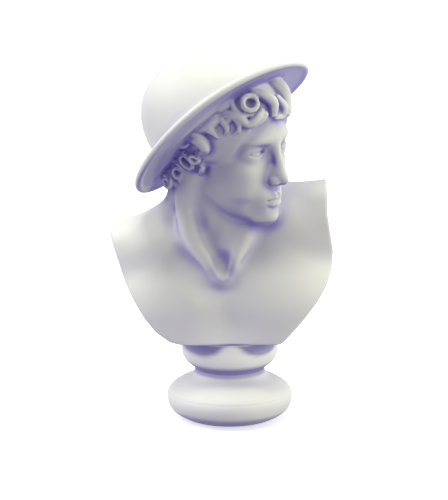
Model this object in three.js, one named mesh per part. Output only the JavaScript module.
import * as THREE from 'three';

// Bust of the young Mercury in a round travelling hat, on a turned socle.
// Millimetres, +Z up. The chest faces -Y and the face is turned towards +X.
// The origin is the centre of the flat underside of the socle.

// Head: chin to crown, middle of the head, and how it is turned
const HEAD_HEIGHT = 125;
const HEAD_CENTRE = [-3, -5, 230];
const HEAD_YAW = 52;
const HEAD_ROLL = -4;
const HEAD_PITCH = 3;

// Hat: crown, brim and the way the hat leans back on the head
const HAT_CENTRE = [-8.9, 0, 244.2];
const HAT_AXIS = unit([-0.577, 0.325, 0.749]);
const HAT_FRONT = [0.811, 0.122, 0.572];
const CROWN_RADIUS = 54;
const CROWN_HEIGHT = 62.5;
const CROWN_LEAN = 0.05;
const CROWN_BACK = 2.5;
const BRIM_RADIUS = 84.8;
const BRIM_THICKNESS = 4;
const BRIM_DIP = 3.2;
const RIM_RADIUS = 2.8;

// Chest: where it is cut below, behind and above, and the wall of its two hollows
const FLOOR_HEIGHT = 69;
const BACK_PLANE = 36;
const SHOULDER_HEIGHT = 193.6;
const WALL = 12;
const RIM_WALL = 10;
const HOLLOW_TOP = 146;
const HOLLOW_FLOOR = 79;
const POST_HALF_WIDTH = 14;

// Socle: radius and height of its turned outline, from the foot over a wide roll, a narrow
// neck and a cup to the flat top that carries the chest
const SOCLE_TOP = 68.7;
const SOCLE_SEGMENTS = 44;
const SOCLE_OUTLINE = [
  [0, 0],
  [32, 0],
  [38, 1],
  [43.4, 4],
  [48.2, 8],
  [50.8, 13],
  [51.6, 18.4],
  [50.3, 23.4],
  [46.4, 27.6],
  [40.2, 31.2],
  [34.2, 34.2],
  [30.2, 37.2],
  [28.8, 40.2],
  [29.4, 43],
  [33.2, 46],
  [36.8, 49.4],
  [39.1, 54],
  [39.4, 58.4],
  [38, 68],
  [37.4, SOCLE_TOP],
  [0, SOCLE_TOP],
];

// Mesh: spacing of the first net of points and the triangles that are kept
const SPACING = 2;
const BLOCK = 4;
const BUST_TRIANGLES = 8250;
const HEAD_WEIGHT = 3.2;
const RIM_WEIGHT = 4;
const REGION_LOW = [-106, -90, 65];
const REGION_HIGH = [92, 90, 309];

function unit(v) {
  const length = Math.hypot(v[0], v[1], v[2]);
  return [v[0] / length, v[1] / length, v[2] / length];
}

function dot(a, b) {
  return a[0] * b[0] + a[1] * b[1] + a[2] * b[2];
}

function cross(a, b) {
  return [a[1] * b[2] - a[2] * b[1], a[2] * b[0] - a[0] * b[2], a[0] * b[1] - a[1] * b[0]];
}

function plus(a, b, scale = 1) {
  return [a[0] + b[0] * scale, a[1] + b[1] * scale, a[2] + b[2] * scale];
}

function minus(a, b) {
  return [a[0] - b[0], a[1] - b[1], a[2] - b[2]];
}

const clamp = (value, low, high) => Math.min(high, Math.max(low, value));
const radians = (degrees) => degrees * Math.PI / 180;

// Distances to shapes are less than nothing inside and more than nothing outside

// Two forms run together, with a soft fillet of width k
function join(a, b, k) {
  const h = Math.max(k - Math.abs(a - b), 0) / k;
  return Math.min(a, b) - h * h * k * 0.25;
}

// What two forms share, with a softened edge
function meet(a, b, k) {
  return -join(-a, -b, k);
}

// A form with another one carved out of it
function carve(a, b, k) {
  return -join(-a, b, k);
}

function egg(x, y, z, c, r) {
  const a = (x - c[0]) / r[0];
  const b = (y - c[1]) / r[1];
  const e = (z - c[2]) / r[2];
  const near = Math.sqrt(a * a + b * b + e * e);
  const slope = Math.hypot(a / r[0], b / r[1], e / r[2]) + 1e-9;
  return near * (near - 1) / slope;
}

function limb(x, y, z, a, b, ra, rb) {
  const ux = b[0] - a[0];
  const uy = b[1] - a[1];
  const uz = b[2] - a[2];
  const px = x - a[0];
  const py = y - a[1];
  const pz = z - a[2];
  const t = clamp((px * ux + py * uy + pz * uz) / (ux * ux + uy * uy + uz * uz), 0, 1);
  const dx = px - t * ux;
  const dy = py - t * uy;
  const dz = pz - t * uz;
  return Math.sqrt(dx * dx + dy * dy + dz * dz) - (ra + (rb - ra) * t);
}

function strand(x, y, z, points, radii) {
  let d = Infinity;
  for (let i = 0; i + 1 < points.length; i += 1) {
    d = Math.min(d, limb(x, y, z, points[i], points[i + 1], radii[i], radii[i + 1]));
  }
  return d;
}

// A smooth way through a few points
function curve(points, steps) {
  const last = points.length - 1;
  const line = [];
  for (let i = 0; i < last; i += 1) {
    const p1 = points[i];
    const p2 = points[i + 1];
    const p0 = i > 0 ? points[i - 1] : p1.map((v, k) => 2 * v - p2[k]);
    const p3 = i + 2 <= last ? points[i + 2] : p2.map((v, k) => 2 * v - p1[k]);
    for (let j = 0; j < steps; j += 1) {
      const s = j / steps;
      line.push(p1.map((v, k) => 0.5 * (2 * v + (p2[k] - p0[k]) * s
        + (2 * p0[k] - 5 * v + 4 * p2[k] - p3[k]) * s * s
        + (3 * v - p0[k] - 3 * p2[k] + p3[k]) * s * s * s)));
    }
  }
  line.push(points[last].slice());
  return line;
}

// The head's own frame: x to its left, y to its back, z up from chin to crown,
// one unit to the height of the head

const HEAD_TURN = (() => {
  const m = new THREE.Matrix4().makeRotationZ(radians(HEAD_YAW));
  m.multiply(new THREE.Matrix4().makeRotationY(radians(HEAD_ROLL)));
  m.multiply(new THREE.Matrix4().makeRotationX(radians(HEAD_PITCH)));
  const e = m.elements;
  return [[e[0], e[1], e[2]], [e[4], e[5], e[6]], [e[8], e[9], e[10]]];
})();

function intoHead(x, y, z) {
  const p = [x - HEAD_CENTRE[0], y - HEAD_CENTRE[1], z - HEAD_CENTRE[2]];
  return [
    dot(p, HEAD_TURN[0]) / HEAD_HEIGHT,
    dot(p, HEAD_TURN[1]) / HEAD_HEIGHT,
    dot(p, HEAD_TURN[2]) / HEAD_HEIGHT + 0.5,
  ];
}

function outOfHead(q) {
  let p = plus(HEAD_CENTRE, HEAD_TURN[0], q[0] * HEAD_HEIGHT);
  p = plus(p, HEAD_TURN[1], q[1] * HEAD_HEIGHT);
  return plus(p, HEAD_TURN[2], (q[2] - 0.5) * HEAD_HEIGHT);
}

// Face and skull, in head heights

const UPPER_LIP = [
  [0, -0.402, 0.204],
  [0.018, -0.404, 0.211],
  [0.050, -0.386, 0.204],
  [0.088, -0.346, 0.187],
];
const LOWER_LIP = [[0, -0.396, 0.163], [0.030, -0.391, 0.164], [0.078, -0.352, 0.180]];
const MOUTH_LINE = [
  [0, -0.424, 0.1865],
  [0.02, -0.424, 0.189],
  [0.052, -0.404, 0.1865],
  [0.094, -0.358, 0.183],
];
const LID_FOLD = [
  [0.072, -0.352, 0.508],
  [0.100, -0.368, 0.532],
  [0.140, -0.370, 0.540],
  [0.178, -0.352, 0.530],
  [0.208, -0.325, 0.505],
];
const EYE = [0.130, -0.283, 0.500];
const EYEBALL = 0.0755;
const LID = 0.0850;
const EYE_HALF_LENGTH = 0.063;
const UPPER_ARCH = 0.027;
const LOWER_ARCH = 0.018;

function arcRadius(rise) {
  return (EYE_HALF_LENGTH ** 2 + rise ** 2) / (2 * rise);
}

const UPPER_ARC = arcRadius(UPPER_ARCH);
const LOWER_ARC = arcRadius(LOWER_ARCH);

function face(side, y, z) {
  const x = Math.abs(side);
  // skull, cheeks, brow, jaw and chin
  let d = egg(x, y, z, [0, 0.045, 0.650], [0.300, 0.440, 0.350]);
  d = join(d, egg(x, y, z, [0, -0.120, 0.365], [0.255, 0.262, 0.350]), 0.08);
  d = join(d, egg(x, y, z, [0.125, -0.225, 0.285], [0.100, 0.105, 0.110]), 0.07);
  d = join(d, egg(x, y, z, [0.055, -0.300, 0.590], [0.150, 0.106, 0.058]), 0.07);
  d = join(d, limb(x, y, z, [0.168, -0.03, 0.245], [0.050, -0.295, 0.075], 0.058, 0.050), 0.08);
  d = join(d, egg(x, y, z, [0, -0.325, 0.075], [0.078, 0.078, 0.066]), 0.045);
  d = join(d, egg(x, y, z, [0.160, -0.240, 0.400], [0.072, 0.085, 0.055]), 0.09);
  d = carve(d, egg(x, y, z, [0.118, -0.430, 0.500], [0.078, 0.085, 0.048]), 0.040);
  d = join(d, egg(x, y, z, [0, -0.325, 0.200], [0.110, 0.088, 0.090]), 0.06);
  // nose
  d = join(d, limb(x, y, z, [0, -0.385, 0.575], [0, -0.442, 0.375], 0.026, 0.030), 0.045);
  d = join(d, egg(x, y, z, [0, -0.385, 0.345], [0.050, 0.075, 0.070]), 0.040);
  d = join(d, egg(x, y, z, [0, -0.455, 0.330], [0.033, 0.043, 0.034]), 0.030);
  d = join(d, egg(x, y, z, [0.041, -0.413, 0.314], [0.024, 0.042, 0.028]), 0.020);
  d = join(d, limb(x, y, z, [0, -0.462, 0.305], [0, -0.405, 0.292], 0.013, 0.013), 0.014);
  d = carve(d, egg(x, y, z, [0.023, -0.437, 0.286], [0.012, 0.026, 0.016]), 0.010);
  // mouth
  d = carve(d, egg(x, y, z, [0, -0.440, 0.128], [0.080, 0.050, 0.020]), 0.035);
  d = join(d, strand(x, y, z, UPPER_LIP, [0.020, 0.022, 0.018, 0.006]), 0.010);
  d = join(d, strand(x, y, z, LOWER_LIP, [0.027, 0.025, 0.008]), 0.012);
  d = carve(d, strand(x, y, z, MOUTH_LINE, [0.004, 0.004, 0.004, 0.003]), 0.010);
  d = carve(d, limb(x, y, z, [0, -0.428, 0.262], [0, -0.434, 0.228], 0.008, 0.011), 0.014);
  // eyes: lids over the ball, the fold above, and the opening between two arcs
  const ex = x - EYE[0];
  const ey = y - EYE[1];
  const ez = z - EYE[2];
  const ball = Math.hypot(ex, ey, ez);
  d = join(d, ball - LID, 0.020);
  d = carve(d, strand(x, y, z, LID_FOLD, [0.004, 0.005, 0.006, 0.005, 0.003]), 0.012);
  const rise = ez + 0.002;
  const upper = Math.hypot(ex, rise - (UPPER_ARCH - UPPER_ARC)) - UPPER_ARC;
  const lower = Math.hypot(ex, rise + (LOWER_ARCH - LOWER_ARC)) - LOWER_ARC;
  d = carve(d, Math.max(upper, lower, ey), 0.005);
  return Math.min(d, ball - EYEBALL);
}

// Hair, in head heights

// The mass of hair that the locks lie on, open over the face
function hairMass(side, y, z) {
  const x = Math.abs(side);
  let d = egg(x, y, z, [0, 0.040, 0.640], [0.335, 0.455, 0.385]);
  d = join(d, egg(x, y, z, [0, 0.20, 0.30], [0.24, 0.20, 0.19]), 0.10);
  d = carve(d, egg(x, y, z, [0, -0.56, 0.41], [0.325, 0.47, 0.345]), 0.06);
  return meet(d, 0.42 - 0.72 * clamp(y + 0.06, 0, 0.40) - z, 0.06);
}

// Point and outward direction of the hair at a bearing (0 in front) and a height
function onHair(bearing, height) {
  const out = [Math.sin(radians(bearing)), -Math.cos(radians(bearing)), 0];
  const form = (q) => Math.min(face(...q), hairMass(...q));
  let place = plus([0, 0.03, height], out, 0.1);
  for (let i = 299; i >= 0; i -= 1) {
    const q = plus([0, 0.03, height], out, 0.02 + 0.58 * i / 299);
    if (form(q) < 0) {
      place = q;
      break;
    }
  }
  const e = 0.02;
  const slope = [0, 1, 2].map((k) => {
    const step = [0, 0, 0];
    step[k] = e;
    return form(plus(place, step)) - form(plus(place, step, -1));
  });
  return { place, out: unit(slope) };
}

// A curled lock: a spiral that stands on the hair and winds in towards its eye
function curl(bearing, height, lock) {
  const { size, thick, turns, hand, start = 180, lift = 0.035, base = 0.012, eye = 0.30 } = lock;
  const { place, out } = onHair(bearing, height);
  const down = unit(plus([0, 0, -1], out, out[2]));
  const across = cross(out, down);
  const steps = Math.floor(4 + 9 * turns);
  const points = [];
  const radii = [];
  for (let i = 0; i <= steps; i += 1) {
    const s = i / steps;
    const a = radians(start) + hand * turns * 2 * Math.PI * s;
    const reach = size * (1 - (1 - eye) * s);
    let p = plus(place, down, reach * Math.cos(a));
    p = plus(p, across, reach * Math.sin(a));
    points.push(plus(p, out, base + lift * Math.sin(Math.PI * s * 0.8)));
    radii.push(thick * (1 - 0.38 * s) * (0.8 + 0.2 * Math.min(1, s * 4)));
  }
  return [{ points, radii }];
}

// A hanging lock: two plies side by side along a way of bearings and heights
function wave(way, thick, tip, lift) {
  const seats = curve(way, 3).map(([b, h]) => onHair(b, h));
  const last = seats.length - 1;
  const plies = [{ points: [], radii: [] }, { points: [], radii: [] }];
  seats.forEach((seat, i) => {
    const before = seats[Math.max(0, i - 1)].place;
    const after = seats[Math.min(last, i + 1)].place;
    const across = cross(seat.out, unit(minus(after, before)));
    const s = i / last;
    const swell = (0.75 + 0.5 * Math.sin(Math.PI * Math.min(1, s * 1.2))) / 1.15;
    const r = thick * (1 - s) ** 0.7 * swell + tip * s;
    plies.forEach((ply, k) => {
      const p = plus(seat.place, across, r * (k - 0.5) * 1.25);
      const raise = lift * Math.sin(Math.PI * Math.min(1, 0.2 + s)) + 0.004 * k;
      ply.points.push(plus(p, seat.out, raise));
      ply.radii.push(r * 0.92);
    });
  });
  return plies;
}

// A short hanging lock whose end turns back on itself
function hook(bearing, height, wide, tall, hand, thick, lift) {
  const w = hand * wide;
  const way = [
    [bearing - w, height + tall],
    [bearing + 0.55 * w, height + 0.60 * tall],
    [bearing + 0.85 * w, height + 0.12 * tall],
    [bearing - 0.15 * w, height - 0.10 * tall],
    [bearing - 0.95 * w, height + 0.12 * tall],
  ];
  return wave(way, thick, thick * 0.50, lift);
}

// The locks beside the face and behind the ear; side is -1 for the head's right
function sideLocks(side) {
  const hang = (way, thick, tip, lift) => wave(way.map(([b, h]) => [side * b, h]), thick, tip, lift);
  const ring = (bearing, height, size, thick, turns, hand, lift, base) =>
    curl(side * bearing, height, { size, thick, turns, hand: hand * side, lift, base });
  return [
    ...hang([[60, 0.845], [46, 0.835], [36, 0.765], [39, 0.700], [47, 0.695]], 0.036, 0.017, 0.036),
    ...hang([[74, 0.785], [61, 0.775], [52, 0.720], [54, 0.655], [62, 0.645]], 0.036, 0.017, 0.036),
    ...hang([[90, 0.745], [77, 0.725], [67, 0.680], [67, 0.620], [74, 0.605]], 0.035, 0.017, 0.034),
    ...hang([[52, 0.795], [49, 0.760], [52, 0.730], [57, 0.730]], 0.024, 0.014, 0.050),
    ...ring(67, 0.545, 0.052, 0.042, 0.85, -1, 0.045, 0.018),
    ...ring(83, 0.655, 0.040, 0.030, 1.00, 1, 0.045),
    ...ring(84, 0.475, 0.058, 0.031, 1.20, 1, 0.045),
    ...ring(77, 0.375, 0.040, 0.026, 1.15, -1, 0.035),
    ...ring(97, 0.385, 0.050, 0.028, 1.20, 1, 0.040),
    ...ring(100, 0.560, 0.056, 0.031, 1.10, -1, 0.040),
    ...ring(116, 0.530, 0.050, 0.028, 1.10, 1, 0.040),
    ...hang([[128, 0.50], [115, 0.45], [104, 0.36], [99, 0.27], [104, 0.235]], 0.032, 0.014, 0.030),
    ...hang([[142, 0.42], [129, 0.36], [117, 0.29], [112, 0.21], [117, 0.18]], 0.032, 0.014, 0.030),
    ...ring(118, 0.345, 0.046, 0.027, 1.20, 1),
    ...ring(131, 0.245, 0.046, 0.027, 1.10, -1),
    ...ring(143, 0.170, 0.044, 0.026, 1.10, 1),
  ];
}

// Three staggered rows of hooked locks over the brow, and two open rings above them
function browLocks() {
  const locks = [];
  for (const [bearing, hand] of [[-33, -1], [-20, 1], [-8, -1], [5, 1], [17, -1], [29, 1]]) {
    locks.push(...hook(bearing, 0.728 + 0.006 * hand, 6.5, 0.085, hand, 0.026, 0.030));
  }
  for (const [bearing, hand] of [[-27, 1], [-12, -1], [1, 1], [13, 1], [25, -1], [38, 1]]) {
    locks.push(...hook(bearing, 0.785 + 0.006 * hand, 7, 0.090, hand, 0.029, 0.050));
  }
  for (const [bearing, hand] of [[-6, -1], [20, 1], [33, -1]]) {
    locks.push(...hook(bearing, 0.845, 7, 0.080, hand, 0.030, 0.065));
  }
  const open = { thick: 0.026, turns: 1.05, lift: 0.055, base: 0.025 };
  locks.push(...curl(-21, 0.855, { ...open, size: 0.045, hand: 1, eye: 0.62 }));
  locks.push(...curl(8, 0.865, { ...open, size: 0.043, hand: -1, eye: 0.60 }));
  return locks;
}

// Rows of curls over the nape, each a little unlike the next
function napeLocks() {
  const vary = (i, k) => {
    const v = Math.sin(i * 12.9898 + k * 78.233) * 43758.5453;
    return v - Math.floor(v);
  };
  const locks = [];
  for (let row = 0; row < 4; row += 1) {
    for (let i = -2; i < 3; i += 1) {
      const n = row * 5 + i + 3;
      locks.push(...curl(180 + (i + 0.5 * (row % 2)) * 17, 0.175 + 0.085 * row, {
        size: 0.050 + 0.01 * vary(n, 4),
        thick: 0.027,
        turns: 1 + 0.3 * vary(n, 6),
        hand: vary(n, 3) > 0.5 ? 1 : -1,
        start: 180 + 50 * (vary(n, 7) - 0.5),
      }));
    }
  }
  return locks;
}

// Locks in millimetres, each with the ball that holds it
const LOCKS = [...sideLocks(-1), ...sideLocks(1), ...browLocks(), ...napeLocks()].map((lock) => {
  const points = lock.points.map(outOfHead);
  const radii = lock.radii.map((r) => r * HEAD_HEIGHT);
  const middle = points.reduce((sum, p) => plus(sum, p, 1 / points.length), [0, 0, 0]);
  const far = Math.max(...points.map((p) => Math.hypot(...minus(p, middle))));
  return { points, radii, middle, reach: (far + Math.max(...radii) + 9) ** 2 };
});

function withLocks(x, y, z, form) {
  let d = form;
  for (const lock of LOCKS) {
    const dx = x - lock.middle[0];
    const dy = y - lock.middle[1];
    const dz = z - lock.middle[2];
    if (dx * dx + dy * dy + dz * dz < lock.reach) {
      d = join(d, strand(x, y, z, lock.points, lock.radii), 1.1);
    }
  }
  return d;
}

const HAT_ALONG = unit(plus(HAT_FRONT, HAT_AXIS, -dot(HAT_FRONT, HAT_AXIS)));
const HAT_ACROSS = cross(HAT_AXIS, HAT_ALONG);

function hat(p, height) {
  const along = dot(p, HAT_ALONG);
  const across = dot(p, HAT_ACROSS);
  const r = Math.hypot(along, across);
  const rise = Math.max(height, 0);
  const wide = Math.hypot(along + CROWN_BACK + CROWN_LEAN * rise, across) / CROWN_RADIUS;
  const dome = (wide ** 2.3 + (rise / CROWN_HEIGHT) ** 2.3) ** (1 / 2.3) - 1;
  const crown = Math.max(dome * CROWN_RADIUS * 0.98, -height);
  const dip = BRIM_DIP * (across * across - along * along) / BRIM_RADIUS ** 2;
  const sheet = height - dip + 0.0016 * Math.max(r - CROWN_RADIUS, 0) ** 2;
  const half = BRIM_THICKNESS / 2;
  const brim = meet(Math.abs(sheet) - half, r - BRIM_RADIUS + half * 0.6, 2.5);
  const rim = Math.hypot(r - BRIM_RADIUS + RIM_RADIUS, sheet) - RIM_RADIUS;
  return join(join(crown, brim, 12), rim, 2);
}

// Neck and its cords
const NECK_TOP = outOfHead([0, 0.10, 0.32]);
const NAPE = outOfHead([0, 0.17, 0.30]);
const NEAR_CORD = curve([
  [-26, -18, 209],
  [-36, -13, 182],
  [-32, -22, 156],
  [-20, -30, 139],
  [-9, -33, 126],
], 3);
const FAR_CORD = curve([
  [8, 22, 212],
  [18, -3, 180],
  [14, -18, 159],
  [4, -29, 140],
  [-4, -33, 126],
], 3);
const CORD_RADII = curve([[9], [7.5], [6], [4.5], [3.5]], 3).map(([r]) => r);

// The front of the body, which leans back above the breast
function bodySkin(x, y, z) {
  const lean = 0.0062 * Math.max(z - 92, 0) ** 2;
  let d = egg(x, y - lean, z, [-3, 36, 100], [122, 76, 150]);
  d = join(d, egg(x, y - lean, z, [-43, -8, 92], [44, 30, 44]), 24);
  d = join(d, egg(x, y - lean, z, [42, -8, 98], [42, 30, 44]), 24);
  d = carve(d, limb(x, y - lean, z, [-3, -56, 116], [1, -54, 86], 6, 8), 24);
  d = join(d, egg(x, y, z, [-84, 16, 141], [22, 24, 30]), 20);
  return join(d, egg(x, y, z, [78, 16, 172], [26, 26, 38]), 20);
}

// The cut of the bust, as seen from the front: across and up, round from the near shoulder
const CUT_OUTLINE = [
  [-118, 240],
  [-100, 158],
  [-92.5, 137],
  [-85.5, 118],
  [-78, 104.5],
  [-69.5, 91.5],
  [-60, 80],
  [-49, 72.3],
  [-34, 67],
  [30, 60.5],
  [44, 72],
  [58, 88],
  [70.2, 103],
  [78.5, 115],
  [83.3, 127],
  [84.4, 140],
  [81.4, 158],
  [79.2, 172],
  [79.2, 184],
  [80.4, 200],
  [80.4, 240],
];

function sideCut(x, z) {
  let nearest = Infinity;
  let inside = false;
  CUT_OUTLINE.forEach((a, i) => {
    const b = CUT_OUTLINE[(i + 1) % CUT_OUTLINE.length];
    const ex = b[0] - a[0];
    const ez = b[1] - a[1];
    const wx = x - a[0];
    const wz = z - a[1];
    const t = clamp((wx * ex + wz * ez) / (ex * ex + ez * ez), 0, 1);
    const dx = wx - t * ex;
    const dz = wz - t * ez;
    nearest = Math.min(nearest, dx * dx + dz * dz);
    const spans = (a[1] <= z) !== (b[1] <= z);
    if (spans && (ex * wz - ez * wx > 0) === (ez > 0)) {
      inside = !inside;
    }
  });
  return Math.sqrt(nearest) * (inside ? -1 : 1);
}

function chest(x, y, z) {
  const skin = bodySkin(x, y, z);
  const lip = 0.0025 * Math.max(x - 56, 0) ** 2;
  const top = meet(-0.300 * x + 0.954 * z - 180.5, z - lip - SHOULDER_HEIGHT, 6);
  return { skin, form: meet(meet(skin, top, 14), y - BACK_PLANE, 14) };
}

// The two hollows behind, either side of the post that stands on the socle
function hollows(x, z, skin, side) {
  let d = meet(skin + WALL, side + RIM_WALL, 8);
  d = meet(d, z - HOLLOW_TOP, 20);
  d = meet(d, HOLLOW_FLOOR - z, 8);
  return meet(d, POST_HALF_WIDTH - Math.abs(x + 1), 8);
}

function neck(x, y, z) {
  let d = limb(x, y, z, [-5, 17, 120], NECK_TOP, 30, 28);
  d = join(d, limb(x, y, z, NAPE, [-62, 20, 140], 16, 12), 16);
  return join(d, limb(x, y, z, NAPE, [52, 22, 172], 20, 14), 26);
}

// The slopes to the shoulders, the throat and the two cords that run from the ears to the pit
function neckRelief(x, y, z, form) {
  let d = join(form, egg(x, y, z, [-52, 1, 142], [31, 22, 20]), 20);
  d = join(d, egg(x, y, z, [42, 3, 158], [34, 23, 25]), 24);
  d = carve(d, limb(x, y, z, [-38, -34, 138], [-17, -44, 121], 4, 5), 18);
  d = join(d, limb(x, y, z, [8, -8, 179], [-2, -17, 146], 10, 7), 10);
  d = join(d, strand(x, y, z, NEAR_CORD, CORD_RADII), 11);
  d = join(d, strand(x, y, z, FAR_CORD, CORD_RADII), 11);
  return carve(d, egg(x, y, z, [-5.5, -37, 135], [5, 6, 9]), 10);
}

// The whole bust
function bust(x, y, z) {
  const { skin, form } = chest(x, y, z);
  const side = sideCut(x, z);
  let body = neckRelief(x, y, z, join(form, neck(x, y, z), 16));
  body = meet(body, side, 2.5);
  body = carve(body, hollows(x, z, skin, side), 4);
  body = meet(body, FLOOR_HEIGHT - z, 3);
  const [hx, hy, hz] = intoHead(x, y, z);
  const skull = face(hx, hy, hz);
  const hair = join(skull, hairMass(hx, hy, hz), 0.02) * HEAD_HEIGHT;
  const fromHat = [x - HAT_CENTRE[0], y - HAT_CENTRE[1], z - HAT_CENTRE[2]];
  const height = dot(fromHat, HAT_AXIS);
  const head = withLocks(x, y, z, hair);
  const figure = Math.min(join(body, head, 2.5), join(body, skull * HEAD_HEIGHT, 5));
  return join(meet(figure, height - 1, 1.5), hat(fromHat, height), 1.5);
}

// Whether the corners of a cell with these bits inside form one piece inside and one outside
function isPlain(bits) {
  const pieces = (wanted) => {
    const left = new Set();
    for (let c = 0; c < 8; c += 1) {
      if (((bits >> c) & 1) === wanted) {
        left.add(c);
      }
    }
    let count = 0;
    while (left.size > 0) {
      count += 1;
      const queue = [left.values().next().value];
      left.delete(queue[0]);
      while (queue.length > 0) {
        const c = queue.pop();
        for (const step of [1, 2, 4]) {
          if (left.delete(c ^ step)) {
            queue.push(c ^ step);
          }
        }
      }
    }
    return count;
  };
  return pieces(1) <= 1 && pieces(0) <= 1;
}

const PLAIN = Array.from({ length: 256 }, (_, bits) => isPlain(bits));

// Values of the form on a grid; far from the surface a block takes one value
function sample(form) {
  const blocks = [0, 1, 2].map((k) => Math.ceil((REGION_HIGH[k] - REGION_LOW[k]) / (SPACING * BLOCK)));
  const size = blocks.map((n) => n * BLOCK + 1);
  const values = new Float32Array(size[0] * size[1] * size[2]).fill(NaN);
  const at = (i, j, k) => (k * size[1] + j) * size[0] + i;
  const wide = SPACING * BLOCK;
  const far = [];
  for (let bk = 0; bk < blocks[2]; bk += 1) {
    for (let bj = 0; bj < blocks[1]; bj += 1) {
      for (let bi = 0; bi < blocks[0]; bi += 1) {
        const middle = [bi, bj, bk].map((b, a) => REGION_LOW[a] + (b + 0.5) * wide);
        const d = bust(middle[0], middle[1], middle[2]);
        const near = Math.abs(d) < wide * 0.87 + 1;
        if (!near) {
          far.push([bi, bj, bk, d]);
          continue;
        }
        for (let k = bk * BLOCK; k <= (bk + 1) * BLOCK; k += 1) {
          for (let j = bj * BLOCK; j <= (bj + 1) * BLOCK; j += 1) {
            for (let i = bi * BLOCK; i <= (bi + 1) * BLOCK; i += 1) {
              const n = at(i, j, k);
              if (Number.isNaN(values[n])) {
                values[n] = form(
                  REGION_LOW[0] + i * SPACING,
                  REGION_LOW[1] + j * SPACING,
                  REGION_LOW[2] + k * SPACING,
                );
              }
            }
          }
        }
      }
    }
  }
  for (const [bi, bj, bk, d] of far) {
    for (let k = bk * BLOCK; k <= (bk + 1) * BLOCK; k += 1) {
      for (let j = bj * BLOCK; j <= (bj + 1) * BLOCK; j += 1) {
        for (let i = bi * BLOCK; i <= (bi + 1) * BLOCK; i += 1) {
          const n = at(i, j, k);
          if (Number.isNaN(values[n])) {
            values[n] = d;
          }
        }
      }
    }
  }
  return { values, size, at };
}

const CORNERS = [0, 1, 2, 3, 4, 5, 6, 7].map((c) => [c & 1, (c >> 1) & 1, (c >> 2) & 1]);

// Fills the cells in which two sheets of the surface would touch; returns the cells it changed
function tidyCells({ values, size, at }) {
  const changed = new Set();
  let again = true;
  while (again) {
    again = false;
    for (let k = 0; k + 1 < size[2]; k += 1) {
      for (let j = 0; j + 1 < size[1]; j += 1) {
        for (let i = 0; i + 1 < size[0]; i += 1) {
          let bits = 0;
          CORNERS.forEach(([a, b, c], n) => {
            bits |= (values[at(i + a, j + b, k + c)] < 0 ? 1 : 0) << n;
          });
          if (bits === 0 || bits === 255 || PLAIN[bits]) {
            continue;
          }
          let best = -1;
          for (const [a, b, c] of CORNERS) {
            const n = at(i + a, j + b, k + c);
            if (values[n] >= 0 && (best < 0 || values[n] < values[best])) {
              best = n;
            }
          }
          values[best] = -0.1 * SPACING;
          changed.add(best);
          again = true;
        }
      }
    }
  }
  return changed;
}

// One point in each cell that the surface passes, and a pair of triangles over each crossed edge
function netOf(grid, changed) {
  const { values, size, at } = grid;
  const number = new Int32Array(values.length).fill(-1);
  const points = [];
  const fixed = [];
  for (let k = 0; k + 1 < size[2]; k += 1) {
    for (let j = 0; j + 1 < size[1]; j += 1) {
      for (let i = 0; i + 1 < size[0]; i += 1) {
        const corner = CORNERS.map(([a, b, c]) => values[at(i + a, j + b, k + c)]);
        const inside = corner.filter((v) => v < 0).length;
        if (inside === 0 || inside === 8) {
          continue;
        }
        const sum = [0, 0, 0];
        let count = 0;
        for (let n = 0; n < 8; n += 1) {
          for (let axis = 0; axis < 3; axis += 1) {
            const other = n | (1 << axis);
            if (other === n || (corner[n] < 0) === (corner[other] < 0)) {
              continue;
            }
            const t = corner[n] / (corner[n] - corner[other]);
            CORNERS[n].forEach((v, a) => {
              sum[a] += v + (a === axis ? t : 0);
            });
            count += 1;
          }
        }
        number[at(i, j, k)] = points.length;
        points.push([i, j, k].map((v, a) => REGION_LOW[a] + (v + sum[a] / count) * SPACING));
        fixed.push(CORNERS.some(([a, b, c]) => changed.has(at(i + a, j + b, k + c))));
      }
    }
  }
  const triangles = [];
  for (let k = 1; k + 1 < size[2]; k += 1) {
    for (let j = 1; j + 1 < size[1]; j += 1) {
      for (let i = 1; i + 1 < size[0]; i += 1) {
        for (let axis = 0; axis < 3; axis += 1) {
          const step = [0, 0, 0];
          step[axis] = 1;
          const here = values[at(i, j, k)] < 0;
          if (here === (values[at(i + step[0], j + step[1], k + step[2])] < 0)) {
            continue;
          }
          const u = [0, 0, 0];
          const v = [0, 0, 0];
          u[(axis + 1) % 3] = 1;
          v[(axis + 2) % 3] = 1;
          const ring = [
            number[at(i - u[0] - v[0], j - u[1] - v[1], k - u[2] - v[2])],
            number[at(i - v[0], j - v[1], k - v[2])],
            number[at(i, j, k)],
            number[at(i - u[0], j - u[1], k - u[2])],
          ];
          if (!here) {
            ring.reverse();
          }
          triangles.push([ring[0], ring[1], ring[2]], [ring[0], ring[2], ring[3]]);
        }
      }
    }
  }
  return { points, fixed, triangles };
}

// The triangles of the outer skin alone, so that the bust is solid right through
function outerSkin(points, triangles) {
  const leader = points.map((_, n) => n);
  const find = (n) => {
    let at = n;
    while (leader[at] !== at) {
      leader[at] = leader[leader[at]];
      at = leader[at];
    }
    return at;
  };
  for (const [a, b, c] of triangles) {
    leader[find(a)] = find(b);
    leader[find(b)] = find(c);
  }
  const counts = new Map();
  for (const [a] of triangles) {
    counts.set(find(a), (counts.get(find(a)) ?? 0) + 1);
  }
  const [skin] = [...counts].sort((p, q) => q[1] - p[1])[0];
  return triangles.filter(([a]) => find(a) === skin);
}

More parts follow.
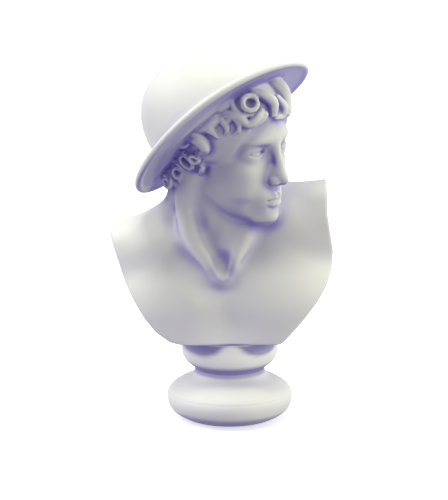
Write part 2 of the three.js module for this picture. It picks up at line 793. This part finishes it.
// Moves the points onto the true surface
function settle(form, points, fixed) {
  const e = SPACING / 2;
  points.forEach((p, n) => {
    if (fixed[n]) {
      return;
    }
    for (let round = 0; round < 2; round += 1) {
      const d = form(p[0], p[1], p[2]);
      const slope = [
        (form(p[0] + e, p[1], p[2]) - form(p[0] - e, p[1], p[2])) / (2 * e),
        (form(p[0], p[1] + e, p[2]) - form(p[0], p[1] - e, p[2])) / (2 * e),
        (form(p[0], p[1], p[2] + e) - form(p[0], p[1], p[2] - e)) / (2 * e),
      ];
      const steep = Math.max(dot(slope, slope), 0.2);
      const far = Math.abs(d) / steep * Math.hypot(...slope);
      const share = Math.min(1, e / Math.max(far, 1e-9));
      slope.forEach((g, a) => {
        p[a] -= d / steep * g * share;
      });
    }
  });
}

// Edges to close, the cheapest first
class Heap {
  constructor() {
    this.items = [];
  }

  push(item) {
    const items = this.items;
    let at = items.length;
    items.push(item);
    while (at > 0) {
      const parent = (at - 1) >> 1;
      if (items[parent].cost <= item.cost) {
        break;
      }
      items[at] = items[parent];
      at = parent;
    }
    items[at] = item;
  }

  pop() {
    const items = this.items;
    const top = items[0];
    const item = items.pop();
    const count = items.length;
    if (count > 0) {
      let at = 0;
      for (;;) {
        let child = 2 * at + 1;
        if (child >= count) {
          break;
        }
        if (child + 1 < count && items[child + 1].cost < items[child].cost) {
          child += 1;
        }
        if (items[child].cost >= item.cost) {
          break;
        }
        items[at] = items[child];
        at = child;
      }
      items[at] = item;
    }
    return top;
  }
}

function normalOf(a, b, c) {
  return cross(minus(b, a), minus(c, a));
}

// Sum of squared distances to the planes that have met at a point
function addPlane(q, n, d, weight) {
  const v = [n[0], n[1], n[2], d];
  let at = 0;
  for (let i = 0; i < 4; i += 1) {
    for (let j = i; j < 4; j += 1) {
      q[at] += v[i] * v[j] * weight;
      at += 1;
    }
  }
}

function errorAt(q, p) {
  const [x, y, z] = p;
  return q[0] * x * x + 2 * q[1] * x * y + 2 * q[2] * x * z + 2 * q[3] * x
    + q[4] * y * y + 2 * q[5] * y * z + 2 * q[6] * y
    + q[7] * z * z + 2 * q[8] * z + q[9];
}

// The point of least error, drawn slightly to the middle of the edge so that flat parts stay even
function bestPoint(q, middle, pull) {
  const a = [q[0] + pull, q[1], q[2]];
  const b = [q[1], q[4] + pull, q[5]];
  const c = [q[2], q[5], q[7] + pull];
  const right = [
    -q[3] + pull * middle[0],
    -q[6] + pull * middle[1],
    -q[8] + pull * middle[2],
  ];
  const bc = cross(b, c);
  const size = dot(a, bc);
  if (Math.abs(size) < 1e-9) {
    return middle;
  }
  const ca = cross(c, a);
  const ab = cross(a, b);
  return [0, 1, 2].map((k) => (right[0] * bc[k] + right[1] * ca[k] + right[2] * ab[k]) / size);
}

function thin(points, triangles, target, weightAt) {
  const faces = triangles.map((t) => t.slice());
  const alive = new Uint8Array(faces.length).fill(1);
  const around = points.map(() => []);
  const forms = points.map(() => new Float64Array(10));
  faces.forEach((t, f) => {
    const [a, b, c] = t.map((v) => points[v]);
    const n = normalOf(a, b, c);
    const area = Math.hypot(...n);
    t.forEach((v) => around[v].push(f));
    if (area > 1e-9) {
      const u = n.map((v) => v / area);
      const weight = area / 2 * weightAt(a);
      t.forEach((v) => addPlane(forms[v], u, -dot(u, a), weight));
    }
  });
  const version = new Uint32Array(points.length);
  const heap = new Heap();

  const offer = (a, b) => {
    const q = forms[a].map((v, k) => v + forms[b][k]);
    const middle = points[a].map((v, k) => (v + points[b][k]) / 2);
    const long = Math.hypot(...minus(points[a], points[b]));
    let place = bestPoint(q, middle, 0.02);
    if (Math.hypot(...minus(place, middle)) > long) {
      place = middle;
    }
    const cost = Math.max(errorAt(q, place), 0) + 0.002 * long * long;
    heap.push({ cost, a, b, stamp: version[a] + version[b], place });
  };

  const neighbours = (v) => {
    const found = new Set();
    for (const f of around[v]) {
      for (const w of faces[f]) {
        if (w !== v) {
          found.add(w);
        }
      }
    }
    return found;
  };

  // Whether the faces about v keep their direction and a fair shape when v moves
  const holds = (v, other, place) => {
    for (const f of around[v]) {
      const t = faces[f];
      if (t.includes(other)) {
        continue;
      }
      const before = t.map((w) => points[w]);
      const after = t.map((w) => (w === v ? place : points[w]));
      const n0 = normalOf(...before);
      const n1 = normalOf(...after);
      const l1 = Math.hypot(...n1);
      if (dot(n0, n1) < 0.35 * Math.hypot(...n0) * l1) {
        return false;
      }
      const edges = after.map((p, k) => Math.hypot(...minus(p, after[(k + 1) % 3])));
      if (l1 < 0.06 * Math.max(...edges) ** 2) {
        return false;
      }
    }
    return true;
  };

  points.forEach((_, v) => {
    for (const w of neighbours(v)) {
      if (v < w) {
        offer(v, w);
      }
    }
  });

  let count = faces.length;
  while (count > target && heap.items.length > 0) {
    const { a, b, stamp, place } = heap.pop();
    if (around[a].length === 0 || around[b].length === 0 || stamp !== version[a] + version[b]) {
      continue;
    }
    const ringA = neighbours(a);
    const ringB = neighbours(b);
    if (!ringA.has(b)) {
      continue;
    }
    let shared = 0;
    for (const v of ringA) {
      shared += ringB.has(v) ? 1 : 0;
    }
    if (shared !== 2 || ringA.size + ringB.size > 16 || !holds(a, b, place) || !holds(b, a, place)) {
      continue;
    }
    points[a] = place;
    forms[b].forEach((v, k) => {
      forms[a][k] += v;
    });
    for (const f of around[b]) {
      if (faces[f].includes(a)) {
        alive[f] = 0;
        count -= 1;
      } else {
        faces[f][faces[f].indexOf(b)] = a;
        around[a].push(f);
      }
    }
    around[b] = [];
    around[a] = around[a].filter((f) => alive[f]);
    for (const v of ringB) {
      around[v] = around[v].filter((f) => alive[f]);
    }
    version[a] += 1;
    version[b] += 1;
    for (const v of neighbours(a)) {
      version[v] += 1;
    }
    for (const v of neighbours(a)) {
      offer(a, v);
      for (const w of neighbours(v)) {
        if (w !== a) {
          offer(v, w);
        }
      }
    }
  }
  return faces.filter((_, f) => alive[f]);
}

function solidOf(points, triangles) {
  const used = new Map();
  const places = [];
  const index = [];
  for (const t of triangles) {
    for (const v of t) {
      if (!used.has(v)) {
        used.set(v, used.size);
        places.push(...points[v]);
      }
      index.push(used.get(v));
    }
  }
  const geometry = new THREE.BufferGeometry();
  geometry.setAttribute('position', new THREE.Float32BufferAttribute(places, 3));
  geometry.setIndex(index);
  geometry.computeVertexNormals();
  return geometry;
}

function makeBust() {
  const grid = sample(bust);
  const changed = tidyCells(grid);
  const { points, fixed, triangles } = netOf(grid, changed);
  settle(bust, points, fixed);
  const weightAt = (p) => {
    const fromHat = minus(p, HAT_CENTRE);
    const height = dot(fromHat, HAT_AXIS);
    const wide = Math.hypot(dot(fromHat, HAT_ALONG), dot(fromHat, HAT_ACROSS));
    if (wide > BRIM_RADIUS - 3 * RIM_RADIUS && Math.abs(height) < 4 * RIM_RADIUS) {
      return RIM_WEIGHT;
    }
    const [x, y, z] = intoHead(p[0], p[1], p[2]);
    const onHead = egg(x, y, z, [0, 0, 0.52], [0.40, 0.50, 0.50]) < 0.06;
    return onHead ? HEAD_WEIGHT : 1;
  };
  const skin = outerSkin(points, triangles);
  return solidOf(points, thin(points, skin, BUST_TRIANGLES, weightAt));
}

function makeSocle() {
  const outline = SOCLE_OUTLINE.map(([r, z]) => new THREE.Vector2(r, z));
  return new THREE.LatheGeometry(outline, SOCLE_SEGMENTS).rotateX(Math.PI / 2);
}

function makeMesh(name, geometry, colour) {
  const material = new THREE.MeshStandardMaterial({ color: colour, roughness: 0.6 });
  const mesh = new THREE.Mesh(geometry, material);
  mesh.name = name;
  return mesh;
}

const figurine = new THREE.Group();
figurine.name = 'resin_mercury_figurine';
figurine.add(makeMesh('bust', makeBust(), 0xefeee9));
figurine.add(makeMesh('socle', makeSocle(), 0xeceae5));

export default figurine;
